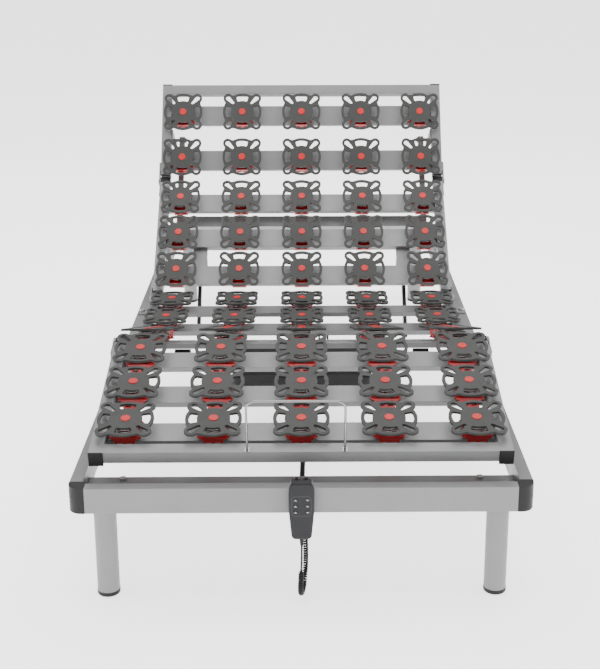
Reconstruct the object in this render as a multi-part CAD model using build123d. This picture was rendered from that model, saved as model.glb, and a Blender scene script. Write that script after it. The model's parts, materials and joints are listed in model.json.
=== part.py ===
from build123d import *
import os
from math import cos, pi, radians, sin, tan

# Adjustable bed base, 90 x 200 cm: a tube frame on four legs that carries five hinged slat
# sections with spring discs, a twin drive, a handset and its cord.
# X is across the bed, Y runs from the foot end to the head end, Z is up and the floor is Z = 0.
# Heights in the frame dimensions are counted from the top of the outer frame.

os.makedirs("parts", exist_ok=True)

# Driving dimensions, mm
WIDTH = 900.0  # outer frame, side to side
LENGTH = 2000.0  # outer frame, foot to head
FRAME_TOP = 250.0  # top of the outer frame above the floor
RAIL_HEIGHT = 52.0
RAIL_DEPTH = 24.0
CAP_SIZE = 32.0  # corner cap, each way
CAP_PROUD = 0.5
WALL = 2.0
BOLT_RADIUS = 4.0
BOLT_INSET = 13.0  # crossbeam bolts, from the crossbeam's inner edge

LEG_RADIUS = 22.25
LEG_X = 387.0
LEG_INSET = 48.0
FOOT_HEIGHT = 9.0
BEAM_START = 33.0  # leg crossbeam, distance from the end of the frame
BEAM_DEPTH = 81.0
BEAM_TOP = -30.0
BEAM_HEIGHT = 20.0

INNER_HALF = 415.5  # outer face of the section side rails
TUBE = 30.0  # height of the section side rails
TUBE_WIDTH = 28.0
CROSS_DEPTH = 28.0  # rail across the free end of the leg and head sections
BAR_DEPTH = 60.0  # slat bar, along the bed
BAR_HEIGHT = 12.0
BAR_TOP = -2.0  # below the centre plane of the side rails
BAR_WALL = 1.5

COLUMNS = 5
COLUMN_PITCH = 176.0
DISC_TOP = 34.0  # button top above the centre plane of the side rails
DISC_TRAVEL = 9.0

HINGE_Y = 802.5  # thigh hinge, from the foot end of the frame
HINGE_Z = 18.5  # hinge axes of the seat above the frame top
LEG_TILT = 12.7  # rest angles, degrees
THIGH_TILT = -18.05
BACK_TILT = 41.0
HEAD_TILT = 60.0
SEAT_LENGTH = 332.0
THIGH_LENGTH = 353.2
LEG_LENGTH = 422.2
BACK_LENGTH = 405.6
HEAD_LENGTH = 302.0
# slat rows of each section, from its hinge at the section's origin
ROWS = {
    "seat": [94.1, 244.0],
    "thigh": [-58.0, -175.6, -293.3],
    "leg": [-65.5, -197.5, -329.5],
    "back": [79.9, 204.9, 329.9],
    "head": [67.2, 208.2],
}

PIN_RADIUS = 5.0
PIN_CLEARANCE = 0.05
KNUCKLE_RADIUS = 14.0
EAR_THICKNESS = 2.5
EAR_GAP = 0.3

HANDSET_GAP = 1.5  # between the frame's front and the handset's back
HANDSET_DEPTH = 24.0
HANDSET_TOP = 22.0
HANDSET_BOTTOM = -97.0
KEY_PROUD = 0.8
KEY_COLUMNS = [-11.6, 11.6]
KEY_ROWS = [-13.2, -26.0, -38.8]

DRIVE_START = 741.0
DRIVE_END = 1000.0
DRIVE_HALF = 175.0
DRIVE_TOP = -55.0
DRIVE_BOTTOM = -140.0
SHAFT_Z = -78.0
SHAFT_RADIUS = 12.0
HANGER_Y = 903.0
LEG_SHAFT_Y = 880.0
BACK_SHAFT_Y = 1134.5
LEVER_RADIUS = 47.0
SPINDLE_X = 60.0
SPINDLE_Z = SHAFT_Z - LEVER_RADIUS
SPINDLE_RADIUS = 5.0
ARM_X = 290.0

FRONT_FACE = HANDSET_GAP + HANDSET_DEPTH + KEY_PROUD
BRACKET_Y = (60.0, 272.0)  # seat brackets, from the thigh hinge
BRACKET_BOLT_X = 437.0
BOLT_ROW = BEAM_START + BEAM_DEPTH - BOLT_INSET
BEAM_BOLTS = [(x, y) for x in (-357, 357) for y in (BOLT_ROW, LENGTH - BOLT_ROW)]

MIDDLE_Y = (LENGTH + CAP_PROUD - FRONT_FACE) / 2


def place(x, y, z):
    """A location given from the frame's centre line, foot end and top."""
    return Pos(x, y - MIDDLE_Y, z + FRAME_TOP)


def tilted(y, z, angle):
    return place(0, y, z) * Rot(angle, 0, 0)


def along(y, z, angle, distance):
    return y + distance * cos(radians(angle)), z + distance * sin(radians(angle))


SEAT = tilted(HINGE_Y, HINGE_Z, 0)
THIGH = tilted(HINGE_Y, HINGE_Z, THIGH_TILT)
KNEE = along(HINGE_Y, HINGE_Z, THIGH_TILT, -THIGH_LENGTH)
LEG = tilted(KNEE[0], KNEE[1], LEG_TILT)
BACK_HINGE = (HINGE_Y + SEAT_LENGTH, HINGE_Z)
BACK = tilted(BACK_HINGE[0], BACK_HINGE[1], BACK_TILT)
HEAD_HINGE = along(BACK_HINGE[0], BACK_HINGE[1], BACK_TILT, BACK_LENGTH)
HEAD = tilted(HEAD_HINGE[0], HEAD_HINGE[1], HEAD_TILT)
FRAMES = {"seat": SEAT, "thigh": THIGH, "leg": LEG, "back": BACK, "head": HEAD}


def block(x, y, z):
    """A box between two limits in each direction."""
    size = [abs(pair[1] - pair[0]) for pair in (x, y, z)]
    middle = [(pair[0] + pair[1]) / 2 for pair in (x, y, z)]
    return Pos(*middle) * Box(*size)


def cross_cylinder(x, y, z, radius):
    """A cylinder along X between two limits."""
    return Pos((x[0] + x[1]) / 2, y, z) * Rot(0, 90, 0) * Cylinder(radius, abs(x[1] - x[0]))


def tube_y(x, y, z, wall):
    """A rectangular tube that runs along Y, open at both ends."""
    inner = block((x[0] + wall, x[1] - wall), y, (z[0] + wall, z[1] - wall))
    return block(x, y, z) - inner


def tube_x(x, y, z, wall):
    """A rectangular tube that runs along X, open at both ends."""
    inner = block(x, (y[0] + wall, y[1] - wall), (z[0] + wall, z[1] - wall))
    return block(x, y, z) - inner


def mirrored(shape):
    return [shape, mirror(shape, about=Plane.YZ)]


def write(name, shapes, frame=None):
    solids = []
    for shape in shapes:
        moved = frame * shape if frame else shape
        solids.extend(moved.solids())
    node = Compound(children=solids)
    node.label = name
    export_step(node, "parts/" + name + ".step")


# ---- outer frame ----


def outer_side_rails():
    x = (WIDTH / 2 - RAIL_DEPTH - 1, WIDTH / 2)
    rail = tube_y(x, (CAP_SIZE, LENGTH - CAP_SIZE), (-RAIL_HEIGHT, 0), WALL)
    for y in BRACKET_Y:
        rail -= Pos(BRACKET_BOLT_X, HINGE_Y + y, 0) * Cylinder(BOLT_RADIUS, RAIL_HEIGHT)
    write("outer_side_rails", mirrored(place(0, 0, 0) * rail))


def outer_end_rails():
    half = WIDTH / 2 - CAP_SIZE
    rails = []
    for start in (0, LENGTH - RAIL_DEPTH):
        rails.append(tube_x((-half, half), (start, start + RAIL_DEPTH), (-RAIL_HEIGHT, 0), WALL))
    write("outer_end_rails", rails, place(0, 0, 0))


def corner_caps():
    low, high = WIDTH / 2 - CAP_SIZE, WIDTH / 2 + CAP_PROUD
    cap = block((low, high), (-CAP_PROUD, CAP_SIZE), (-RAIL_HEIGHT - CAP_PROUD, CAP_PROUD))
    outer_edge = cap.edges().filter_by(Axis.Z).sort_by(lambda e: e.center().X - e.center().Y)[-1]
    cap = fillet(outer_edge, 26)
    cap = fillet(cap.faces().sort_by(Axis.Z)[-1].edges().filter_by(GeomType.CIRCLE), 0.4)
    caps = mirrored(cap)
    half_way = Plane.XZ.offset(-LENGTH / 2)
    caps += [mirror(one, about=half_way) for one in caps]
    write("corner_caps", caps, place(0, 0, 0))


def crossbeams():
    half = WIDTH / 2 - RAIL_DEPTH - 1
    height = (BEAM_TOP - BEAM_HEIGHT, BEAM_TOP)
    beams = []
    for start in (BEAM_START, LENGTH - BEAM_START - BEAM_DEPTH):
        beam = tube_x((-half, half), (start, start + BEAM_DEPTH), height, WALL)
        for x, y in BEAM_BOLTS:
            beam -= Pos(x, y, BEAM_TOP) * Cylinder(BOLT_RADIUS, BEAM_HEIGHT)
        beams.append(beam)
    write("crossbeams", beams + drive_hangers(), place(0, 0, 0))


def drive_hangers():
    """Plates on the side rails that carry the drive's side arms and the back shaft's bearings."""
    outer = WIDTH / 2 - RAIL_DEPTH - 1
    plate = block((outer - 6, outer), (HANGER_Y, HANGER_Y + 40), (-95, -20))
    arm = tube_x((DRIVE_HALF, outer - 6), (HANGER_Y + 5, HANGER_Y + 35), (-95, -70), WALL)
    bearing = block((outer - 6, outer), (BACK_SHAFT_Y - 21, BACK_SHAFT_Y + 21), (SHAFT_Z - 20, -20))
    bearing -= cross_cylinder((outer - 7, outer + 1), BACK_SHAFT_Y, SHAFT_Z, SHAFT_RADIUS + PIN_CLEARANCE)
    return mirrored(plate) + mirrored(arm) + mirrored(bearing)


LEG_PLACES = [(x, y) for y in (LEG_INSET, LENGTH - LEG_INSET) for x in (-LEG_X, LEG_X)]


def legs():
    top = BEAM_TOP - BEAM_HEIGHT
    bottom = -FRAME_TOP + FOOT_HEIGHT
    tube = Cylinder(LEG_RADIUS, top - bottom) - Cylinder(LEG_RADIUS - WALL, top - bottom)
    write("legs", [place(x, y, (top + bottom) / 2) * tube for x, y in LEG_PLACES])


def leg_feet():
    cap = Pos(0, 0, FOOT_HEIGHT / 2) * Cylinder(LEG_RADIUS + 0.6, FOOT_HEIGHT)
    cap = fillet(cap.faces().sort_by(Axis.Z)[0].edges(), 3)
    plug = Pos(0, 0, FOOT_HEIGHT + 8) * Cylinder(LEG_RADIUS - WALL - 0.1, 16)
    write("leg_feet", [place(x, y, -FRAME_TOP) * (cap + plug) for x, y in LEG_PLACES])


def hex_bolt(radius, length):
    """A bolt whose head's underside is at the origin and whose shank points down."""
    head = Pos(0, 0, radius * 0.65) * extrude(RegularPolygon(radius * 1.9, 6), radius * 1.3, both=False)
    head = Pos(0, 0, -radius * 0.65) * head
    return head + Pos(0, 0, -length / 2) * Cylinder(radius, length)


def frame_bolts():
    bolts = []
    for x, y in BEAM_BOLTS:
        bolts.append(place(x, y, BEAM_TOP) * hex_bolt(BOLT_RADIUS, BEAM_HEIGHT / 2))
    for x in (-BRACKET_BOLT_X, BRACKET_BOLT_X):
        for y in BRACKET_Y:
            bolts.append(place(x, HINGE_Y + y, HINGE_Z - TUBE / 2) * hex_bolt(BOLT_RADIUS, 12))
    write("frame_bolts", bolts)


# ---- sections ----


def hinge_ear(at, toward, outer):
    """One hinge ear of a side rail; the outer ear is spaced off the rail by the inner one."""
    inner_face = INNER_HALF + (EAR_THICKNESS + EAR_GAP if outer else 0)
    x = (inner_face, inner_face + EAR_THICKNESS)
    ear = block(x, sorted((at, at + toward * 56)), (-11, 11)) + cross_cylinder(x, at, 0, 13)
    if outer:
        pad = block((INNER_HALF, x[0]), sorted((at + toward * 30, at + toward * 56)), (-11, 11))
        ear += pad
        return ear - cross_cylinder((x[0] - 1, x[1] + 1), at, 0, PIN_RADIUS + PIN_CLEARANCE)
    return ear - cross_cylinder((x[0] - 1, x[1] + 1), at, 0, PIN_RADIUS)


def rail_plug(at, toward, knuckle):
    """A black end plug; with a knuckle it fills the gap to the hinge axis."""
    x = (INNER_HALF - TUBE_WIDTH, INNER_HALF)
    half = TUBE / 2
    end = at + toward * (12 if knuckle else 19)
    inside = (x[0] + WALL + 0.1, x[1] - WALL - 0.1)
    plug = block(inside, sorted((end, end + toward * 14)), (-half + WALL + 0.1, half - WALL - 0.1))
    if not knuckle:
        return plug + block(x, sorted((end - toward * 3, end)), (-half, half))
    plug += block(x, sorted((at + toward * 4, end)), (-KNUCKLE_RADIUS, KNUCKLE_RADIUS))
    rounded = cross_cylinder(x, at, 0, KNUCKLE_RADIUS)
    plug += rounded - block(x, sorted((end, at + toward * 40)), (-half, half))
    return plug - cross_cylinder((x[0] + 5, x[1] + 1), at, 0, PIN_RADIUS)


def end_plug(at, toward):
    """A flat plug in the free end of a side rail; toward points into the rail."""
    x = (INNER_HALF - TUBE_WIDTH, INNER_HALF)
    half = TUBE / 2
    inside = (x[0] + WALL + 0.1, x[1] - WALL - 0.1)
    plug = block(inside, sorted((at + toward * 3, at + toward * 17)), (-half + WALL + 0.1, half - WALL - 0.1))
    flange = (x[0] - 0.4, x[1] + 0.4)
    face = block(flange, sorted((at, at + toward * 3)), (-half - 0.6, half + 0.6))
    return plug + chamfer(face.faces().sort_by(Axis.Y)[0 if toward > 0 else -1].edges(), 0.8)


# each section's low and high end along its own Y, and the kind of joint there
ENDS = {
    "seat": ((0, "knuckle"), (SEAT_LENGTH, "knuckle")),
    "thigh": ((-THIGH_LENGTH, "knuckle"), (0, "plain")),
    "leg": ((-LEG_LENGTH, "free"), (0, "plain")),
    "back": ((0, "plain"), (BACK_LENGTH, "knuckle")),
    "head": ((0, "plain"), (HEAD_LENGTH, "free")),
}
END_GAP = {"knuckle": 12.0, "plain": 19.0, "free": 3.0}


def rail_span(section):
    (low, low_kind), (high, high_kind) = ENDS[section]
    return low + END_GAP[low_kind], high - END_GAP[high_kind]


def section_frame(section):
    low, high = rail_span(section)
    inner = INNER_HALF - TUBE_WIDTH
    half = TUBE / 2
    rail = tube_y((inner, INNER_HALF), (low, high), (-half, half), WALL)
    shapes = mirrored(rail)
    for row in ROWS[section]:
        y = (row - BAR_DEPTH / 2, row + BAR_DEPTH / 2)
        shapes.append(tube_x((-inner, inner), y, (BAR_TOP - BAR_HEIGHT, BAR_TOP), BAR_WALL))
    for (at, kind), toward in zip(ENDS[section], (1, -1)):
        if kind != "free":
            shapes += mirrored(hinge_ear(at, toward, kind == "plain"))
    if section == "leg":
        shapes.append(tube_x((-inner, inner), (low, low + CROSS_DEPTH), (half - 25, half), WALL))
    if section == "head":
        shapes.append(tube_x((-inner, inner), (high - CROSS_DEPTH, high), (half - 25, half), WALL))
    if section == "seat":
        shapes += seat_brackets()
    if section in PUSH_STRIPS:
        low_y, high_y = PUSH_STRIPS[section]
        z = (BAR_TOP - BAR_HEIGHT - 3, BAR_TOP - BAR_HEIGHT)
        shapes += mirrored(block((ARM_X - 20, ARM_X + 20), (low_y, high_y), z))
    if section == "head":
        shapes += mirrored(bow_bracket())
    write(section + "_frame", shapes, FRAMES[section])


def seat_brackets():
    """Plates under the seat rails that sit on the outer frame and are bolted to it."""
    plates = []
    thickness = HINGE_Z - TUBE / 2
    for y in BRACKET_Y:
        plate = block((INNER_HALF - TUBE_WIDTH, 446), (y - 25, y + 25), (-HINGE_Z, -HINGE_Z + thickness))
        plates += mirrored(plate - Pos(BRACKET_BOLT_X, y, -HINGE_Z + 2) * Cylinder(BOLT_RADIUS, 8))
    return plates


def section_plugs(section):
    shapes = []
    for (at, kind), toward in zip(ENDS[section], (1, -1)):
        if kind == "free":
            shapes += mirrored(end_plug(at, toward))
        else:
            shapes += mirrored(rail_plug(at, toward, kind == "knuckle"))
    write(section + "_rail_plugs", shapes, FRAMES[section])


def hinge_pin(at):
    """A headed pin through both ears into the knuckle."""
    head_at = INNER_HALF + 2 * EAR_THICKNESS + 2 * EAR_GAP
    shank = cross_cylinder((INNER_HALF - 12, head_at), at, 0, PIN_RADIUS)
    head = cross_cylinder((head_at, head_at + 2), at, 0, 8)
    return shank + head


def hinge_pins(section):
    shapes = []
    for at, kind in ENDS[section]:
        if kind == "knuckle":
            shapes += mirrored(hinge_pin(at))
    write(section + "_hinge_pins", shapes, FRAMES[section])


# ---- spring discs ----

PLATE_TOP = DISC_TOP - 1.5
PLATE_THICKNESS = 5.0
PLATE_BOTTOM = PLATE_TOP - PLATE_THICKNESS
PLATE_REACH = 57.0  # middle of a side
BULGE_RADIUS = 55.0
CORNER_OFFSET = 42.0
CORNER_RADIUS = 14.0
HUB_RADIUS = 33.0
RIM = 7.0
BUTTON_RADIUS = 10.0
SPRING_OUTER = 23.5
SPRING_INNER = 19.5
POST_TOP = 14.0


def around(shape):
    return [Rot(0, 0, 90 * turn) * shape for turn in range(4)]


def plate_outline():
    """Four gently bulging sides that run into four round corner lobes."""
    outline = Sketch() + around(Pos(PLATE_REACH - BULGE_RADIUS, 0) * Circle(BULGE_RADIUS))
    outline += Sketch() + around(Pos(CORNER_OFFSET, CORNER_OFFSET) * Circle(CORNER_RADIUS))
    return fillet(outline.vertices(), 9)


def disc_plate():
    side_slot = Pos(PLATE_REACH - BULGE_RADIUS, 0) * Circle(BULGE_RADIUS - RIM)
    side_slot &= make_face(Polyline((24, -12.5), (24, 12.5), (56, 20), (56, -20), close=True))
    side_slot -= Circle(HUB_RADIUS + 0.5)
    side_slot = fillet(side_slot.vertices(), 3.4)
    lobe = CORNER_OFFSET * 2**0.5
    corner_slot = make_hull((Pos(39.5, 0) * Circle(4.0)).edges() + (Pos(lobe, 0) * Circle(CORNER_RADIUS - RIM)).edges())
    corner_slot = Rot(0, 0, 45) * corner_slot
    face = plate_outline()
    face -= Sketch() + around(side_slot)
    face -= Sketch() + around(corner_slot)
    face -= Circle(BUTTON_RADIUS - 3)
    plate = Pos(0, 0, PLATE_BOTTOM) * extrude(face, PLATE_THICKNESS)
    collar = Circle(18.5) - Circle(16)
    return plate + Pos(0, 0, PLATE_BOTTOM - 3) * extrude(collar, 3)


def disc_button():
    cap = Pos(0, 0, PLATE_TOP) * Cylinder(BUTTON_RADIUS, 1.5, align=(Align.CENTER, Align.CENTER, Align.MIN))
    cap = fillet(cap.faces().sort_by(Axis.Z)[-1].edges(), 1.0)
    stem_bottom = POST_TOP - 2
    stem = Cylinder(4, PLATE_TOP - stem_bottom, align=(Align.CENTER, Align.CENTER, Align.MIN))
    neck = Cylinder(BUTTON_RADIUS - 3, PLATE_THICKNESS, align=(Align.CENTER, Align.CENTER, Align.MIN))
    return cap + Pos(0, 0, stem_bottom) * stem + Pos(0, 0, PLATE_BOTTOM) * neck


def disc_clip():
    """The red base: a deck on the slat bar, tabs down both its edges and four arms."""
    bar_bottom = BAR_TOP - BAR_HEIGHT
    half = BAR_DEPTH / 2
    deck = block((-20, 20), (-half - 0.2, half + 0.2), (BAR_TOP, BAR_TOP + 4))
    tab_face = Polyline((-20, bar_bottom - 2.3), (20, bar_bottom - 2.3), (20, -1), (29, 8), (-29, 8), (-20, -1),
                        close=True)
    tab = extrude(make_face(tab_face), 3)
    for x in (-9.5, 9.5):
        tab -= extrude(Pos(x, -7.5) * RectangleRounded(12, 6, 1.5), 3)
    tab = Pos(0, -half - 0.2, 0) * Rot(90, 0, 0) * tab
    hook = block((-17, 17), (-half - 3.2, -half + 4), (bar_bottom - 2.3, bar_bottom))
    side = tab + hook
    clip = deck + side + mirror(side, about=Plane.XZ)
    for turn in range(4):
        clip += Rot(0, 0, 45 + 90 * turn) * block((25.5, 40), (-5.5, 5.5), (BAR_TOP + 4, BAR_TOP + 8))
    low = BAR_TOP + 4
    cup = Cylinder(27, 6, align=(Align.CENTER, Align.CENTER, Align.MIN))
    cup -= Cylinder(24.3, 6, align=(Align.CENTER, Align.CENTER, Align.MIN))
    floor = Cylinder(27, 3, align=(Align.CENTER, Align.CENTER, Align.MIN))
    post = Cylinder(7, POST_TOP - low, align=(Align.CENTER, Align.CENTER, Align.MIN))
    bore = Cylinder(4.6, POST_TOP - low, align=(Align.CENTER, Align.CENTER, Align.MIN))
    return clip + Pos(0, 0, low) * (cup + floor + post - bore)


def disc_spring():
    """The space of a coil spring between the base and the plate, as a sleeve."""
    low, high = BAR_TOP + 7.2, PLATE_BOTTOM - 0.3
    ring = Cylinder(SPRING_OUTER, high - low) - Cylinder(SPRING_INNER, high - low)
    return Pos(0, 0, (low + high) / 2) * ring


def disc_places(section):
    first = -COLUMN_PITCH * (COLUMNS - 1) / 2
    return [Pos(first + COLUMN_PITCH * n, row, 0) for row in ROWS[section] for n in range(COLUMNS)]


DISC_PIECES = {
    "disc_plates": disc_plate(),
    "disc_buttons": disc_button(),
    "disc_clips": disc_clip(),
    "disc_springs": disc_spring(),
}


def section_discs(section):
    for name, piece in DISC_PIECES.items():
        write(section + "_" + name, [spot * piece for spot in disc_places(section)], FRAMES[section])


# ---- lifting gear ----

PUSH_STRIPS = {"thigh": (-168.0, -70.0), "back": (109.0, 215.0)}
STRIP_UNDER = BAR_TOP - BAR_HEIGHT - 3
ROLLER_RADIUS = 14.0
LEG_ROLLER_GAP = 5.0
BACK_ROLLER_GAP = 7.5
LEG_ROLLER_AT = -112.0
BACK_ROLLER_AT = 140.0


def local_point(hinge, angle, distance, height):
    y, z = along(hinge[0], hinge[1], angle, distance)
    return y - height * sin(radians(angle)), z + height * cos(radians(angle))


def lift_shaft(name, shaft_y, half_length, roller, lever_angle):
    """A shaft through the drive with a fork inside and two arms with rollers outside."""
    shaft = cross_cylinder((-half_length, half_length), 0, 0, SHAFT_RADIUS)
    dy, dz = roller[0] - shaft_y, roller[1] - SHAFT_Z
    reach = (dy * dy + dz * dz) ** 0.5
    turn = Rot(-Vector(0, dy, dz).get_signed_angle(Vector(0, 1, 0), Vector(1, 0, 0)), 0, 0)
    for side in (-1, 1):
        x = (side * ARM_X - 5, side * ARM_X + 5)
        arm = block(x, (0, reach), (-9, 9)) + cross_cylinder(x, 0, 0, 18) + cross_cylinder(x, reach, 0, 10)
        shaft += turn * arm
        shaft += turn * cross_cylinder((side * ARM_X - 19, side * ARM_X + 19), reach, 0, ROLLER_RADIUS)
    fork_x = SPINDLE_X if shaft_y > HINGE_Y else -SPINDLE_X
    for offset in (-12, 12):
        x = (fork_x + offset - 2.5, fork_x + offset + 2.5)
        prong = block(x, (-7, 7), (-LEVER_RADIUS, 0)) + cross_cylinder(x, 0, -LEVER_RADIUS, 7)
        prong += cross_cylinder(x, 0, 0, 17)
        shaft += Rot(lever_angle, 0, 0) * prong
    write(name, [place(0, shaft_y, SHAFT_Z) * shaft])


BOW_PIVOT_AT = 145.0  # along the head section
BOW_PIVOT_DEPTH = -44.0
BOW_TUBE_AT = 297.0  # along the back section, at rest
BOW_TUBE_DEPTH = -60.0
BOW_X = 360.0
BOW_TUBE = 32.0


def bow_bracket():
    """A plate that hangs from the head's side rail and carries the bow's pivot."""
    x = (INNER_HALF - TUBE_WIDTH - 4, INNER_HALF - TUBE_WIDTH)
    y = (BOW_PIVOT_AT - 16, BOW_PIVOT_AT + 16)
    plate = block(x, y, (BOW_PIVOT_DEPTH, 8)) + cross_cylinder(x, BOW_PIVOT_AT, BOW_PIVOT_DEPTH, 16)
    pin = cross_cylinder((BOW_X - 12, x[1]), BOW_PIVOT_AT, BOW_PIVOT_DEPTH, PIN_RADIUS)
    return plate + pin + cross_cylinder((BOW_X - 12, BOW_X - 9), BOW_PIVOT_AT, BOW_PIVOT_DEPTH, 8)


def head_lift_bow():
    top = local_point(HEAD_HINGE, HEAD_TILT, BOW_PIVOT_AT, BOW_PIVOT_DEPTH)
    bottom = local_point(BACK_HINGE, BACK_TILT, BOW_TUBE_AT, BOW_TUBE_DEPTH)
    dy, dz = bottom[0] - top[0], bottom[1] - top[1]
    reach = (dy * dy + dz * dz) ** 0.5
    turn = Rot(-Vector(0, dy, dz).get_signed_angle(Vector(0, 1, 0), Vector(1, 0, 0)), 0, 0)
    shapes = []
    for side in (-1, 1):
        x = (side * BOW_X - 8, side * BOW_X + 8)
        strut = block(x, (0, reach), (-7, 7)) + cross_cylinder(x, 0, 0, 11)
        strut -= cross_cylinder((x[0] - 1, x[1] + 1), 0, 0, PIN_RADIUS + PIN_CLEARANCE)
        shapes.append(strut - block((x[0] - 1, x[1] + 1), (reach - BOW_TUBE / 2, reach + 1), (-20, 20)))
    half = BOW_TUBE / 2
    shapes.append(tube_x((-BOW_X - 8, BOW_X + 8), (reach - half, reach + half), (-half, half), WALL))
    write("head_lift_bow", [place(0, top[0], top[1]) * turn * shape for shape in shapes])


# ---- drive unit ----


def drive_shells():
    x, y = (-DRIVE_HALF, DRIVE_HALF), (DRIVE_START, DRIVE_END)
    wall = 3.0
    whole = block(x, y, (DRIVE_BOTTOM, DRIVE_TOP))
    whole = fillet(whole.edges().filter_by(Axis.Z), 18)
    whole = chamfer(whole.faces().sort_by(Axis.Z)[0].edges(), 4)
    inside = block((x[0] + wall, x[1] - wall), (y[0] + wall, y[1] - wall),
                   (DRIVE_BOTTOM + wall, DRIVE_TOP - wall))
    shell = whole - fillet(inside.edges().filter_by(Axis.Z), 15)
    shell -= cross_cylinder((x[0] - 1, x[1] + 1), LEG_SHAFT_Y, SHAFT_Z, SHAFT_RADIUS + PIN_CLEARANCE)
    shell -= Pos(SPINDLE_X, DRIVE_END, SPINDLE_Z) * Rot(90, 0, 0) * Cylinder(SPINDLE_RADIUS + 0.5, 12)
    shell -= Pos(0, DRIVE_START, CORD_END[2]) * Rot(90, 0, 0) * Cylinder(6, 12)
    far = 400.0
    lower = shell & block((-far, far), (0, LENGTH), (DRIVE_BOTTOM - 1, SHAFT_Z))
    upper = shell & block((-far, far), (0, LENGTH), (SHAFT_Z, DRIVE_TOP + 1))
    socket = block((-58, -22), (DRIVE_END, DRIVE_END + 10), (-118, -94))
    socket -= block((-53, -27), (DRIVE_END + 2, DRIVE_END + 11), (-114, -98))
    write("drive_housing", [lower + socket], place(0, 0, 0))
    write("drive_lid", [upper], place(0, 0, 0))


MOTOR = {"leg": (934.0, 990.0), "back": (902.0, 985.0)}


def motor(x, y):
    body = Pos(x, (y[0] + y[1]) / 2, -105) * Rot(90, 0, 0) * Cylinder(24, y[1] - y[0])
    return body + block((x - 30, x + 30), y, (DRIVE_BOTTOM + 3.2, -100))


def spindle(x, start, end):
    return Pos(x, (start + end) / 2, SPINDLE_Z) * Rot(90, 0, 0) * Cylinder(SPINDLE_RADIUS, end - start)


def drive_spindles():
    leg = motor(-SPINDLE_X, MOTOR["leg"]) + spindle(-SPINDLE_X, 856, 940)
    back = motor(SPINDLE_X, MOTOR["back"]) + spindle(SPINDLE_X, 980, 1176)
    back += Pos(SPINDLE_X, 1179, SPINDLE_Z) * Rot(90, 0, 0) * Cylinder(8, 8)
    write("drive_spindles", [leg, back], place(0, 0, 0))


NUT_HALF = 12.0
NUT_GAP = 5.0
LEG_LEVER_ANGLE = 0.0
BACK_LEVER_ANGLE = 12.0


def drive_nut(name, x, y):
    nut = block((x - 16, x + 16), (y - NUT_HALF, y + NUT_HALF), (SPINDLE_Z - 9, SPINDLE_Z + 9))
    nut = chamfer(nut.edges().filter_by(Axis.Y), 2)
    nut -= Pos(x, y, SPINDLE_Z) * Rot(90, 0, 0) * Cylinder(SPINDLE_RADIUS + 0.1, 3 * NUT_HALF)
    write(name, [nut], place(0, 0, 0))


def drive_nuts():
    reach = NUT_HALF + NUT_GAP + 7
    leg_y = LEG_SHAFT_Y + LEVER_RADIUS * sin(radians(LEG_LEVER_ANGLE)) + reach
    back_y = BACK_SHAFT_Y + LEVER_RADIUS * sin(radians(BACK_LEVER_ANGLE)) - reach
    drive_nut("leg_drive_nut", -SPINDLE_X, leg_y)
    drive_nut("back_drive_nut", SPINDLE_X, back_y)


# ---- handset ----

KEYS = [
    ("key_back_up", 0, 0), ("key_back_down", 1, 0), ("key_legs_up", 0, 1),
    ("key_legs_down", 1, 1), ("key_all_up", 0, 2), ("key_all_down", 1, 2),
]
KEY_SIZE = (9.0, 6.0)
KEY_TRAVEL = 0.8


def handset_outline(inset=0.0):
    points = [(-21, HANDSET_TOP), (21, HANDSET_TOP), (24.6, -2), (24.6, -38), (19, HANDSET_BOTTOM),
              (-19, HANDSET_BOTTOM), (-24.6, -38), (-24.6, -2)]
    face = make_face(Polyline(*points, close=True))
    sharp = [v for v in face.vertices() if v.Y > HANDSET_TOP - 1 or v.Y < HANDSET_BOTTOM + 1]
    face = fillet(sharp, 9)
    face = fillet([v for v in face.vertices() if abs(v.X) > 24.5 and -39 < v.Y < -1], 30)
    return offset(face, -inset) if inset else face


def key_hole(x, z, gap):
    return Pos(x, z) * RectangleRounded(KEY_SIZE[0] + 2 * gap, KEY_SIZE[1] + 2 * gap, 2.5)


def handset():
    back_face, front_face = HANDSET_GAP, HANDSET_GAP + HANDSET_DEPTH
    split = (back_face + front_face) / 2
    upright = place(0, 0, 0) * Rot(90, 0, 0)
    outline, inner = handset_outline(), handset_outline(2.0)
    front = Pos(0, 0, split) * extrude(outline, front_face - split)
    front = fillet(front.faces().sort_by(Axis.Z)[-1].edges(), 4)
    front -= Pos(0, 0, split) * extrude(inner, front_face - split - 2.5)
    rear = Pos(0, 0, back_face) * extrude(outline, split - back_face)
    rear = fillet(rear.faces().sort_by(Axis.Z)[0].edges(), 2.5)
    rear -= Pos(0, 0, back_face + 2) * extrude(inner, split - back_face - 2)
    for name, column, row in KEYS:
        x, z = KEY_COLUMNS[column], KEY_ROWS[row]
        front -= Pos(0, 0, split) * extrude(key_hole(x, z, 0.35), front_face - split + 1)
        key = Pos(0, 0, front_face - 4) * extrude(key_hole(x, z, 0), 4 + KEY_PROUD)
        key = chamfer(key.faces().sort_by(Axis.Z)[-1].edges(), 0.5)
        write(name, [upright * key])
    rear += hook()
    exit_hole = Pos(0, HANDSET_BOTTOM, CORD_START_DEPTH) * Rot(90, 0, 0) * Cylinder(4.1, 12)
    write("handset_front", [upright * (front - exit_hole)])
    write("handset_rear", [upright * (rear - exit_hole)])


def hook():
    """Two prongs that reach from the handset's back over the top of the end rail."""
    shapes = Part()
    for x in (-9, 9):
        over = block((x - 3, x + 3), (0, 3), (-RAIL_DEPTH - 5, HANDSET_GAP + 1))
        down = block((x - 3, x + 3), (-16, 3), (-RAIL_DEPTH - 5, -RAIL_DEPTH - 2))
        rise = block((x - 3, x + 3), (HANDSET_TOP - 4, HANDSET_TOP + 3), (HANDSET_GAP + 1, HANDSET_GAP + 7))
        shapes += over + down + rise
    return shapes


# ---- handset cord ----

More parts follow.
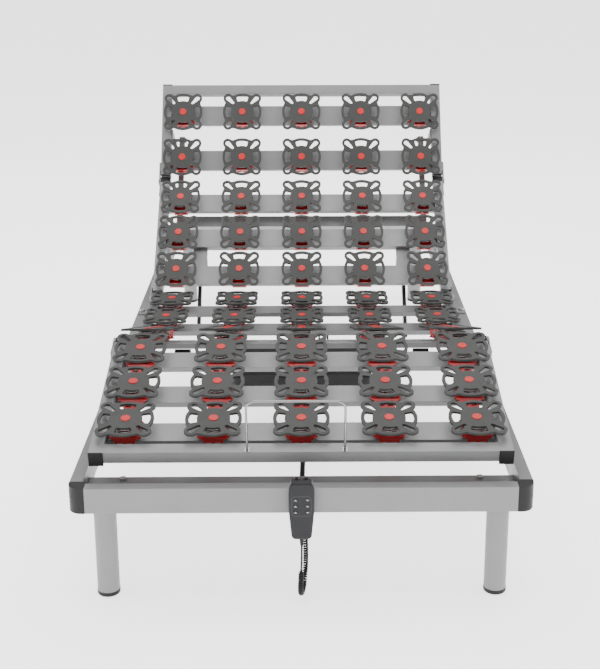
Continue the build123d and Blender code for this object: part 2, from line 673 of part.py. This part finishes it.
CORD_RADIUS = 2.0
CURL_RADIUS = 5.8
CORD_START_DEPTH = 13.5
CORD_START = (0.0, -CORD_START_DEPTH, -114.0)
CORD_JOIN = (-1.2, -13.5, -168.0)
CORD_END = (0.0, 723.0, -78.0)
STRAIGHT_ROUTE = [CORD_START, (0.0, -13.5, -141.0), CORD_JOIN]
CURLY_ROUTE = [
    CORD_JOIN,
    (-3.2, -13.5, -213.0),
    (-1.0, 9.5, -235.5),
    (4.0, 41.5, -235.5),
    (7.2, 64.0, -213.0),
    (8.0, 69.0, -164.0),
    (5.0, 80.0, -112.0),
    (1.0, 104.0, -73.0),
    (1.0, 150.0, -55.0),
    (2.0, 215.0, -50.0),
    (3.0, 310.0, -66.0),
    (0.0, 420.0, -84.0),
    (-3.0, 530.0, -90.0),
    (0.0, 640.0, -78.0),
    CORD_END,
]


def cord_radii(points):
    """The largest tangent arcs that the runs beside each corner allow."""
    radii = []
    for before, here, after in zip(points, points[1:], points[2:]):
        first, second = Vector(*here) - Vector(*before), Vector(*after) - Vector(*here)
        turn = radians(first.get_angle(second))
        radii.append(0.45 * min(first.length, second.length) / tan(turn / 2))
    return radii


def cord_tube(name, points, radius):
    radii = cord_radii(points)
    path = FilletPolyline(*points, radius=radii) if len(points) > 2 else Line(*points)
    start = Plane(origin=path @ 0, z_dir=path % 0)
    tube = sweep(start * Circle(radius), path=path)
    print(name, "length", round(path.length), "volume ratio",
          round(tube.volume / (pi * radius**2 * path.length), 4), "radii", [round(r) for r in radii])
    write(name, [tube], place(0, 0, 0))


def cord_fittings():
    relief = Pos(0, -CORD_START_DEPTH, (HANDSET_BOTTOM + CORD_START[2]) / 2) * Cone(
        3.2, 4.8, HANDSET_BOTTOM - CORD_START[2])
    relief += Pos(0, -CORD_START_DEPTH, HANDSET_BOTTOM + 3) * Cylinder(4.0, 6)
    strap_y = BEAM_START + BEAM_DEPTH
    ring_z = -60.5
    ring = Pos(1, strap_y + 21, ring_z) * Rot(90, 0, 0) * (Cylinder(10.5, 6) - Cylinder(8.5, 6))
    strap = block((-5, 7), (strap_y, strap_y + 2.5), (-52.5, -34))
    strap += block((-5, 7), (strap_y, strap_y + 24), (-52.5, -50.5))
    gland = Pos(0, (CORD_END[1] + DRIVE_START) / 2, CORD_END[2]) * Rot(-90, 0, 0) * Cone(
        6.5, 9, DRIVE_START - CORD_END[1])
    gland += Pos(0, DRIVE_START + 3, CORD_END[2]) * Rot(90, 0, 0) * Cylinder(5.9, 6)
    bore = Pos(1, strap_y + 21, ring_z) * Rot(90, 0, 0) * Cylinder(8.5, 16)
    write("cord_fittings", [relief, (ring + strap) - bore, gland], place(0, 0, 0))


# ---- mattress retainer ----

RETAINER_X = (-106.0, 85.0)
RETAINER_HEIGHT = 115.0
RETAINER_RADIUS = 2.25
RETAINER_BEND = 18.0


def mattress_retainer():
    y = -LEG_LENGTH + 10
    base = TUBE / 2
    low, high = base + 2, base + RETAINER_HEIGHT
    path = FilletPolyline(
        (RETAINER_X[0], y, low), (RETAINER_X[0], y, high), (RETAINER_X[1], y, high), (RETAINER_X[1], y, low),
        radius=RETAINER_BEND)
    wire = sweep(Plane(origin=path @ 0, z_dir=path % 0) * Circle(RETAINER_RADIUS), path=path)
    for x in RETAINER_X:
        wire += block((x - 5, x + 5), (y - 9, y + 6), (base, base + 2.2))
    write("mattress_retainer", [wire], LEG)


def main():
    outer_side_rails()
    outer_end_rails()
    corner_caps()
    crossbeams()
    legs()
    leg_feet()
    frame_bolts()
    for section in FRAMES:
        section_frame(section)
        section_plugs(section)
        section_discs(section)
    for section in ("seat", "thigh", "back"):
        hinge_pins(section)
    lift_shaft("leg_lift_shaft", LEG_SHAFT_Y, ARM_X + 14,
               local_point((HINGE_Y, HINGE_Z), THIGH_TILT, LEG_ROLLER_AT, STRIP_UNDER - LEG_ROLLER_GAP - ROLLER_RADIUS),
               LEG_LEVER_ANGLE)
    lift_shaft("back_lift_shaft", BACK_SHAFT_Y, WIDTH / 2 - RAIL_DEPTH - 1.5,
               local_point(BACK_HINGE, BACK_TILT, BACK_ROLLER_AT, STRIP_UNDER - BACK_ROLLER_GAP - ROLLER_RADIUS),
               BACK_LEVER_ANGLE)
    head_lift_bow()
    drive_shells()
    drive_spindles()
    drive_nuts()
    handset()
    cord_fittings()
    cord_tube("cord_straight", STRAIGHT_ROUTE, CORD_RADIUS)
    cord_tube("cord_curly", CURLY_ROUTE, CURL_RADIUS)
    mattress_retainer()


main()
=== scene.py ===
import bpy
import json
from math import cos, pi, radians, sin
from mathutils import Matrix, Vector


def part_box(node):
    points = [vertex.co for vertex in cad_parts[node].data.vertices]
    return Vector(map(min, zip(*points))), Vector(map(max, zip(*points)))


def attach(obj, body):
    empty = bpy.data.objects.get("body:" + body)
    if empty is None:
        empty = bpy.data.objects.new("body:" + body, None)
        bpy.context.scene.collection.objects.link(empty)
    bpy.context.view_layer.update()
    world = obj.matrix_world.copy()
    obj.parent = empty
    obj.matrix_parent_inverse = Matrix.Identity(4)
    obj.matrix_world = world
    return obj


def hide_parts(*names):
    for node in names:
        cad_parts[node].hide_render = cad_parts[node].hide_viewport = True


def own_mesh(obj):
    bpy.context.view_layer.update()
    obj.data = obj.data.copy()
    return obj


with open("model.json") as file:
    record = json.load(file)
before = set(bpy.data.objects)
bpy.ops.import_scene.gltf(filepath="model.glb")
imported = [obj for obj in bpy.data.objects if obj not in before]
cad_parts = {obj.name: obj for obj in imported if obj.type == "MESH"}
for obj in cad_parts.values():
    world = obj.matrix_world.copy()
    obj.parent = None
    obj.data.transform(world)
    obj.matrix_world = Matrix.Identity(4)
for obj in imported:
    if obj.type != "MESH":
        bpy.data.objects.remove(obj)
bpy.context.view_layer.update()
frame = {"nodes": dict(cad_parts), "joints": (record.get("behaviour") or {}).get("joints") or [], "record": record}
nodes = frame["nodes"]
record = frame["record"]
scene = bpy.context.scene
SECTIONS = ("seat", "thigh", "leg", "back", "head")
KEYS = ("key_back_up", "key_back_down", "key_legs_up", "key_legs_down", "key_all_up", "key_all_down")

# ---------------------------------------------------------------- camera

CAMERA_AT = (0.00705, -3.15462, 1.32448)
CAMERA_PITCH = 16.46
CAMERA_YAW = 0.51
CAMERA_ROLL = -0.07
CAMERA_LENS = 66.912
CAMERA_SHIFT = (-0.02238, -0.09522)


def make_camera():
    data = bpy.data.cameras.new("camera")
    data.sensor_fit = "AUTO"
    data.sensor_width = 36.0
    data.lens = CAMERA_LENS
    data.shift_x, data.shift_y = CAMERA_SHIFT
    data.clip_end = 200.0
    camera = bpy.data.objects.new("camera", data)
    scene.collection.objects.link(camera)
    turn = Matrix.Rotation(radians(-CAMERA_YAW), 4, "Z")
    turn = turn @ Matrix.Rotation(radians(90 - CAMERA_PITCH), 4, "X")
    turn = turn @ Matrix.Rotation(radians(CAMERA_ROLL), 4, "Z")
    camera.matrix_world = Matrix.Translation(CAMERA_AT) @ turn
    scene.camera = camera


make_camera()

# ---------------------------------------------------------------- materials


class Nodes:
    """A node tree with short calls for the nodes that the materials share."""

    def __init__(self, name):
        self.material = bpy.data.materials.new(name)
        self.material.use_nodes = True
        self.tree = self.material.node_tree
        self.shader = self.tree.nodes["Principled BSDF"]
        self.place = self.add("ShaderNodeTexCoord").outputs["Object"]

    def add(self, kind, **values):
        node = self.tree.nodes.new(kind)
        for key, value in values.items():
            setattr(node, key, value)
        return node

    def link(self, out, into):
        self.tree.links.new(out, into)

    def noise(self, scale, detail=3.0, roughness=0.55, stretch=None):
        node = self.add("ShaderNodeTexNoise")
        node.inputs["Scale"].default_value = scale
        node.inputs["Detail"].default_value = detail
        node.inputs["Roughness"].default_value = roughness
        if stretch:
            mapping = self.add("ShaderNodeMapping")
            mapping.inputs["Scale"].default_value = stretch
            self.link(self.place, mapping.inputs["Vector"])
            self.link(mapping.outputs["Vector"], node.inputs["Vector"])
        else:
            self.link(self.place, node.inputs["Vector"])
        return node.outputs["Fac"]

    def ramp(self, value, low, high, first, last):
        """A colour between first and last as value goes from low to high."""
        node = self.add("ShaderNodeValToRGB")
        node.color_ramp.elements[0].position = low
        node.color_ramp.elements[1].position = high
        node.color_ramp.elements[0].color = (*first, 1)
        node.color_ramp.elements[1].color = (*last, 1)
        self.link(value, node.inputs["Fac"])
        return node.outputs["Color"]

    def spread(self, value, low, high):
        """A number from low to high as value goes from 0.3 to 0.7."""
        node = self.add("ShaderNodeMapRange")
        node.inputs["From Min"].default_value = 0.3
        node.inputs["From Max"].default_value = 0.7
        node.inputs["To Min"].default_value = low
        node.inputs["To Max"].default_value = high
        self.link(value, node.inputs["Value"])
        return node.outputs["Result"]

    def mix(self, amount, first, second):
        node = self.add("ShaderNodeMix", data_type="RGBA")
        self.link(amount, node.inputs["Factor"])
        for out, name in ((first, 6), (second, 7)):
            if isinstance(out, tuple):
                node.inputs[name].default_value = (*out, 1)
            else:
                self.link(out, node.inputs[name])
        return node.outputs[2]

    def edges(self, radius):
        """1 at edges and 0 on flat faces, and a normal rounded by that radius."""
        bevel = self.add("ShaderNodeBevel", samples=6)
        bevel.inputs["Radius"].default_value = radius
        flat = self.add("ShaderNodeNewGeometry").outputs["Normal"]
        dot = self.add("ShaderNodeVectorMath", operation="DOT_PRODUCT")
        self.link(bevel.outputs["Normal"], dot.inputs[0])
        self.link(flat, dot.inputs[1])
        edge = self.add("ShaderNodeMapRange")
        edge.inputs["From Min"].default_value = 0.999
        edge.inputs["From Max"].default_value = 0.8
        edge.inputs["To Min"].default_value = 0.0
        edge.inputs["To Max"].default_value = 1.0
        self.link(dot.outputs["Value"], edge.inputs["Value"])
        return edge.outputs["Result"], bevel.outputs["Normal"]

    def bump(self, height, strength, distance, normal=None):
        node = self.add("ShaderNodeBump")
        node.inputs["Strength"].default_value = strength
        node.inputs["Distance"].default_value = distance
        self.link(height, node.inputs["Height"])
        if normal:
            self.link(normal, node.inputs["Normal"])
        self.link(node.outputs["Normal"], self.shader.inputs["Normal"])


def shade(colour, amount):
    return tuple(min(1.0, c * amount) for c in colour)


def finish(name, colour, rough, vary=0.12, edge=1.35, metal=0.0, coat=0.0, grain=900.0,
           grain_depth=0.00012, patch=9.0, radius=0.0008, extra=None, stretch=None):
    """A painted, moulded or plain metal surface: mottled colour, uneven gloss, grain and a painted highlight along
    the edges.
    """
    tree = Nodes(name)
    broad = tree.noise(patch, 4.0, stretch=stretch)
    fine = tree.noise(grain, 2.0)
    edge_highlight, rounded = tree.edges(radius)
    body = tree.ramp(broad, 0.3, 0.7, shade(colour, 1 - vary), shade(colour, 1 + vary))
    speckled = tree.mix(tree.spread(fine, 0.0, 0.35), body, shade(colour, 1 - 1.6 * vary))
    # painted highlight: the edge mask makes the colour lighter along the edges by the factor edge, where light
    # would catch them
    tree.link(tree.mix(edge_highlight, speckled, shade(colour, edge)), tree.shader.inputs["Base Color"])
    gloss = tree.spread(tree.noise(patch * 4, 5.0), rough - 0.06, rough + 0.08)
    tree.link(gloss, tree.shader.inputs["Roughness"])
    tree.shader.inputs["Metallic"].default_value = metal
    tree.shader.inputs["Coat Weight"].default_value = coat
    tree.shader.inputs["Coat Roughness"].default_value = 0.25
    tree.bump(fine, 0.25, grain_depth, rounded)
    for key, value in (extra or {}).items():
        tree.shader.inputs[key].default_value = value
    return tree.material


DULL = {"Specular IOR Level": 0.2}  # less sheen, for the dark plastics and the black paint

MATERIALS = {
    "grey_steel": finish("grey_steel", (0.22, 0.221, 0.224), 0.42, vary=0.05, edge=1.25,
                         metal=0.35, grain=1400, radius=0.0015, stretch=(1, 1, 1)),
    "black_plastic": finish("black_plastic", (0.018, 0.018, 0.019), 0.45, edge=1.8, grain=1600, extra=DULL),
    "disc_grey": finish("disc_grey", (0.052, 0.053, 0.051), 0.5, vary=0.08, edge=1.4, grain=1800,
                        extra=DULL),
    "button_red": finish("button_red", (0.55, 0.006, 0.004), 0.5, vary=0.06, edge=1.2, coat=0.0, grain=1200,
                         extra={"Subsurface Weight": 0.08, "Subsurface Scale": 0.004}),
    "clip_red": finish("clip_red", (0.42, 0.006, 0.008), 0.4, vary=0.1, edge=1.5, coat=0.1, grain=700,
                       extra={"Subsurface Weight": 0.25, "Subsurface Scale": 0.006}),
    "spring_steel": finish("spring_steel", (0.5, 0.5, 0.5), 0.28, metal=1.0, grain=600, radius=0.0003),
    "zinc_steel": finish("zinc_steel", (0.5, 0.5, 0.48), 0.34, metal=1.0, grain=900),
    "dark_steel": finish("dark_steel", (0.02, 0.02, 0.021), 0.4, edge=2.2, metal=0.2, grain=1200,
                         extra=DULL),
    "bright_wire": finish("bright_wire", (0.3, 0.3, 0.3), 0.25, vary=0.04, metal=1.0, grain=500,
                          radius=0.0003),
    "drive_black": finish("drive_black", (0.012, 0.012, 0.013), 0.5, edge=2.0, grain=1300,
                          grain_depth=0.0003, extra=DULL),
    "handset_black": finish("handset_black", (0.022, 0.022, 0.024), 0.42, edge=1.8, grain=2400,
                            radius=0.0005, extra=DULL),
    "key_black": finish("key_black", (0.04, 0.04, 0.043), 0.6, edge=1.6, grain=2600, radius=0.0004,
                        extra=DULL),
    "cord_black": finish("cord_black", (0.012, 0.012, 0.013), 0.38, edge=1.5, grain=1500,
                         radius=0.0002, extra=DULL),
    "key_print": finish("key_print", (0.55, 0.56, 0.57), 0.55, vary=0.1, edge=1.0, grain=2400,
                        radius=0.0001),
    "handset_line": finish("handset_line", (0.07, 0.07, 0.075), 0.3, vary=0.1, edge=1.3,
                           grain=2400, radius=0.0001),
}

for part in record["subparts"]:
    data = nodes[part["node"]].data
    data.materials.clear()
    data.materials.append(MATERIALS[part["material_slot"]])
    for face in data.polygons:
        face.material_index = 0


# ---------------------------------------------------------------- mesh helpers


def new_mesh(name, points, faces, material, body, smooth=False):
    data = bpy.data.meshes.new(name)
    data.from_pydata([tuple(p) for p in points], [], faces)
    data.validate()
    data.update()
    data.materials.append(MATERIALS[material])
    if smooth:
        for face in data.polygons:
            face.use_smooth = True
    piece = bpy.data.objects.new(name, data)
    scene.collection.objects.link(piece)
    if body:
        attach(piece, body)
    return piece


def tube(path, radius, sides):
    """Points and faces of a round tube along a path, with capped ends and a frame that doesn't twist."""
    points, faces = [], []
    ahead = (path[1] - path[0]).normalized()
    side = ahead.orthogonal().normalized()
    for i, here in enumerate(path):
        before, after = path[max(i - 1, 0)], path[min(i + 1, len(path) - 1)]
        ahead = (after - before).normalized()
        side = (side - ahead * side.dot(ahead)).normalized()
        up = ahead.cross(side)
        for k in range(sides):
            turn = 2 * pi * k / sides
            points.append(here + (side * cos(turn) + up * sin(turn)) * radius)
    for i in range(len(path) - 1):
        for k in range(sides):
            a, b = i * sides + k, i * sides + (k + 1) % sides
            faces.append((a, b, b + sides, a + sides))
    faces.append(tuple(reversed(range(sides))))
    last = (len(path) - 1) * sides
    faces.append(tuple(range(last, last + sides)))
    return points, faces


def islands(obj):
    """The separate pieces of a mesh, each as a list of its points."""
    data = obj.data
    spot, parent = {}, []
    index = []
    for v in data.vertices:
        key = tuple(round(c, 6) for c in v.co)
        if key not in spot:
            spot[key] = len(parent)
            parent.append(len(parent))
        index.append(spot[key])

    def root(i):
        while parent[i] != i:
            parent[i] = parent[parent[i]]
            i = parent[i]
        return i

    for edge in data.edges:
        a, b = (root(index[v]) for v in edge.vertices)
        parent[a] = b
    groups = {}
    for key, i in spot.items():
        groups.setdefault(root(i), []).append(Vector(key))
    return list(groups.values())


# ---------------------------------------------------------------- handset cord

FRAME_END_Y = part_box("outer_end_rails")[0][1]
FRAME_TOP_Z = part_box("outer_end_rails")[1][2]
CABLE_RADIUS = 0.002
CURL_RADIUS = 0.0036
CURL_PITCH = 0.005
STEPS_PER_TURN = 14
STRAIGHT_LENGTH = 0.052  # plain cable below the strain relief
CURL_EASE = 0.012  # over which the curl opens and closes
PLAIN_END = 0.006  # plain cable in the gland
STRAIGHT_ROUTE = [
    (0.0, -0.0135, -0.114),
    (0.0, -0.0135, -0.141),
    (-0.0012, -0.0135, -0.168),
]
CURLY_ROUTE = [
    (-0.0032, -0.0135, -0.213),
    (-0.001, 0.0095, -0.2355),
    (0.004, 0.0415, -0.2355),
    (0.0072, 0.064, -0.213),
    (0.008, 0.069, -0.164),
    (0.005, 0.080, -0.112),
    (0.001, 0.104, -0.073),
    (0.001, 0.150, -0.055),
    (0.002, 0.215, -0.050),
    (0.003, 0.310, -0.066),
    (0.0, 0.420, -0.084),
    (-0.003, 0.530, -0.090),
    (0.0, 0.640, -0.078),
    (0.0, 0.723, -0.078),
]


def spline_points(name, route):
    """Points along the smooth NURBS line that has the route as its control points."""
    curve = bpy.data.curves.new(name, "CURVE")
    curve.dimensions = "3D"
    curve.resolution_u = 24
    spline = curve.splines.new("NURBS")
    spline.points.add(len(route) - 1)
    for point, (x, y, z) in zip(spline.points, route):
        point.co = (x, FRAME_END_Y + y, FRAME_TOP_Z + z, 1.0)
    spline.order_u = 3
    spline.use_endpoint_u = True
    holder = bpy.data.objects.new(name, curve)
    scene.collection.objects.link(holder)
    bpy.context.view_layer.update()
    mesh = bpy.data.meshes.new_from_object(holder)
    points = [v.co.copy() for v in mesh.vertices]
    bpy.data.objects.remove(holder)
    bpy.data.curves.remove(curve)
    bpy.data.meshes.remove(mesh)
    return points


def path_length(points):
    return sum((b - a).length for a, b in zip(points, points[1:]))


def along(points, step):
    """The same line as points a step apart, with the distance at each."""
    total = path_length(points)
    count = int(round(total / step))
    out, run, i = [], 0.0, 0
    for n in range(count + 1):
        want = min(total * n / count, total - 1e-9)
        while run + (points[i + 1] - points[i]).length < want and i < len(points) - 2:
            run += (points[i + 1] - points[i]).length
            i += 1
        gap = points[i + 1] - points[i]
        out.append((points[i] + gap * ((want - run) / gap.length), want))
    return out


def handset_cord():
    line = spline_points("handset_cord_line", STRAIGHT_ROUTE + CURLY_ROUTE)
    total = path_length(line)
    samples = along(line, CURL_PITCH / STEPS_PER_TURN)
    path = []
    side = Vector((1, 0, 0))
    turn = 0.0
    previous = 0.0
    for i, (point, at) in enumerate(samples):
        before, after = samples[max(i - 1, 0)][0], samples[min(i + 1, len(samples) - 1)][0]
        ahead = (after - before).normalized()
        side = (side - ahead * side.dot(ahead)).normalized()
        up = ahead.cross(side)
        opening = max(0.0, (at - STRAIGHT_LENGTH) / CURL_EASE)
        closing = max(0.0, (total - PLAIN_END - at) / CURL_EASE)
        grow = min(1.0, opening, closing)
        grow = grow * grow * (3 - 2 * grow)
        if at > STRAIGHT_LENGTH:
            turn += 2 * pi * (at - previous) / CURL_PITCH
        previous = at
        if at <= STRAIGHT_LENGTH and i % STEPS_PER_TURN and i:
            continue
        path.append(point + (side * cos(turn) + up * sin(turn)) * CURL_RADIUS * grow)
    points, faces = tube(path, CABLE_RADIUS, 8)
    piece = new_mesh("handset_cord", points, faces, "cord_black", "base", smooth=True)
    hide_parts("cord_straight", "cord_curly")


handset_cord()

# ---------------------------------------------------------------- disc springs


def coil_springs(section):
    joint = next(j for j in frame["joints"] if j["name"] == section + "_disc_press")
    normal = -Vector(joint["axis"]).normalized()
    node = nodes[section + "_disc_springs"]
    wire, turns, steps = 0.0013, 4.5, 22
    points, faces = [], []
    for sleeve in islands(node):
        centre = sum(sleeve, Vector()) / len(sleeve)
        heights = [(p - centre).dot(normal) for p in sleeve]
        outer = max(((p - centre) - normal * (p - centre).dot(normal)).length for p in sleeve)
        across = Vector((1, 0, 0))
        other = normal.cross(across)
        low, high = min(heights) + wire, max(heights) - wire
        path = []
        for n in range(int(turns * steps) + 1):
            share = n / (turns * steps)
            rise = min(1.0, max(0.0, (share - 0.08) / 0.84))
            angle = 2 * pi * n / steps
            path.append(centre + normal * (low + (high - low) * rise)
                        + (across * cos(angle) + other * sin(angle)) * (outer - wire))
        more, quads = tube(path, wire, 8)
        faces += [tuple(i + len(points) for i in quad) for quad in quads]
        points += more
    piece = new_mesh(section + "_coil_springs", points, faces, "spring_steel", None, smooth=True)
    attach(piece, "base" if section == "seat" else section)
    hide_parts(section + "_disc_springs")
    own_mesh(piece)


for name in SECTIONS:
    coil_springs(name)

# ---------------------------------------------------------------- handset print

FACE_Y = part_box("handset_front")[0][1]
PRINT = 0.00012


def plate_from(name, outline, y, thickness, material, body):
    """A thin raised plate in the XZ plane, its front at y."""
    n = len(outline)
    points = [(x, y, z) for x, z in outline] + [(x, y + thickness, z) for x, z in outline]
    faces = [tuple(range(n)), tuple(reversed(range(n, 2 * n)))]
    faces += [(i, i + n, (i + 1) % n + n, (i + 1) % n) for i in range(n)]
    return new_mesh(name, points, faces, material, body)


def key_icon(key):
    low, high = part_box(key)
    x, z, y = (low[0] + high[0]) / 2, (low[2] + high[2]) / 2, low[1]
    way = 1 if key.endswith("up") else -1
    arrow = [(x - 0.0016, z - way * 0.0002), (x + 0.0016, z - way * 0.0002), (x, z + way * 0.0018)]
    plate_from(key + "_arrow", arrow, y - PRINT, PRINT * 1.5, "key_print", key)
    bars = {"key_back": [(-0.003, 0.003)], "key_legs": [(-0.003, -0.0004), (0.0004, 0.003)],
            "key_all_": [(-0.003, -0.0014), (-0.0008, 0.0008), (0.0014, 0.003)]}[key[:8]]
    for n, (left, right) in enumerate(bars):
        top, bottom = z - way * 0.0008, z - way * 0.0014
        bar = [(x + left, top), (x + right, top), (x + right, bottom), (x + left, bottom)]
        plate_from(key + "_bar_%d" % n, bar, y - PRINT, PRINT * 1.5, "key_print", key)


for name in KEYS:
    key_icon(name)


def rounded_ring(name, centre, half, corner, width, y):
    """A thin raised outline with rounded corners on the handset's face."""
    inner, outer = [], []
    for quarter, (sx, sz) in enumerate(((1, 1), (-1, 1), (-1, -1), (1, -1))):
        cx = centre[0] + sx * (half[0] - corner)
        cz = centre[1] + sz * (half[1] - corner)
        for step in range(9):
            turn = pi / 2 * (quarter + step / 8)
            outer.append((cx + corner * cos(turn), cz + corner * sin(turn)))
            inner.append((cx + (corner - width) * cos(turn), cz + (corner - width) * sin(turn)))
    n = len(outer)
    points = [(x, y - PRINT, z) for x, z in outer + inner] + [(x, y + PRINT, z) for x, z in outer + inner]
    faces = []
    for i in range(n):
        j = (i + 1) % n
        faces.append((i, n + i, n + j, j))
        faces.append((2 * n + i, 2 * n + j, 3 * n + j, 3 * n + i))
        faces.append((i, j, 2 * n + j, 2 * n + i))
        faces.append((n + i, 3 * n + i, 3 * n + j, n + j))
    return new_mesh(name, points, faces, "handset_line", "base")


key_boxes = [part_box(name) for name in KEYS]
key_z = (min(b[0][2] for b in key_boxes) + max(b[1][2] for b in key_boxes)) / 2
rounded_ring("handset_outline", (0.0, key_z), (0.0185, 0.0205), 0.006, 0.0005, FACE_Y)

# ---------------------------------------------------------------- floor and light


def make_floor():
    material = Nodes("floor")
    tone = material.ramp(material.noise(0.8, 2.0), 0.3, 0.7, (0.9, 0.9, 0.9), (0.93, 0.93, 0.93))
    material.link(tone, material.shader.inputs["Base Color"])
    material.shader.inputs["Roughness"].default_value = 0.75
    material.shader.inputs["Emission Color"].default_value = (1, 1, 1, 1)
    material.shader.inputs["Emission Strength"].default_value = 2.0
    size = 60.0
    data = bpy.data.meshes.new("floor")
    corners = [(-size, -size, 0), (size, -size, 0), (size, size, 0), (-size, size, 0)]
    data.from_pydata(corners, [], [(0, 1, 2, 3)])
    data.materials.append(material.material)
    floor = bpy.data.objects.new("floor", data)
    scene.collection.objects.link(floor)


def area_light(name, at, aim, size, power, colour=(1, 1, 1)):
    data = bpy.data.lights.new(name, "AREA")
    data.shape = "RECTANGLE"
    data.size, data.size_y = size
    data.energy = power
    data.color = colour
    light = bpy.data.objects.new(name, data)
    scene.collection.objects.link(light)
    light.location = at
    light.rotation_euler = (Vector(aim) - Vector(at)).to_track_quat("-Z", "Y").to_euler()


make_floor()
area_light("top_light", (0.0, 0.3, 3.6), (0, 0, 0), (4.5, 4.5), 190)
area_light("front_light", (0.0, -4.5, 2.6), (0, 0, 0.3), (4.0, 2.0), 5)
area_light("left_light", (-4.0, 0.0, 2.2), (0, 0, 0.3), (2.5, 3.0), 35)
area_light("right_light", (4.0, 0.0, 2.2), (0, 0, 0.3), (2.5, 3.0), 35)

world = bpy.data.worlds.new("studio")
world.use_nodes = True
world.node_tree.nodes["Background"].inputs["Color"].default_value = (1, 1, 1, 1)
world.node_tree.nodes["Background"].inputs["Strength"].default_value = 0.7
scene.world = world
